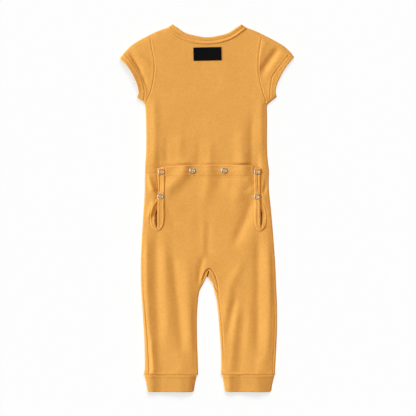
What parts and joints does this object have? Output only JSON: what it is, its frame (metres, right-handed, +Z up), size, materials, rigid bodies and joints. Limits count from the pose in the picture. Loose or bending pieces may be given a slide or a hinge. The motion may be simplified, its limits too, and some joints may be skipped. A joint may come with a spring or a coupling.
{
  "type": "baby jumpsuit",
  "caption": "Short-sleeved soft knit baby jumpsuit with a snap-fastened drop seat and ankle cuffs, lying flat on its front.",
  "frame": {"origin": "on the surface that the garment lies on, under the middle of its length and width", "axes": "+X to the right as seen from above, +Y from the ankle cuffs to the neck, +Z up off the surface; the wearer's back faces up and the wearer's left is at -X"},
  "size_m": [0.3139, 0.6615, 0.0083],
  "materials": {
    "knit": "matt, softly brushed ochre interlock knit",
    "rib": "doubled ochre knit of bands and cuffs",
    "binding": "ochre knit strip, edge-stitched",
    "patch": "black woven patch, bare",
    "snap": "satin metal ring"
  },
  "bodies": {
    "root": {"front": "knit", "back_bodice": "knit", "seat_panel": "knit", "flap_band": "knit", "placket_left": "binding", "placket_right": "binding", "sleeve_left": "knit", "sleeve_right": "knit", "sleeve_band_left": "rib", "sleeve_band_right": "rib", "neckband": "rib", "cuff_left": "rib", "cuff_right": "rib", "label_patch": "patch", "snap_1": "snap", "snap_2": "snap", "snap_3": "snap", "snap_4": "snap", "snap_5": "snap", "snap_6": "snap"}
  },
  "joints": []
}
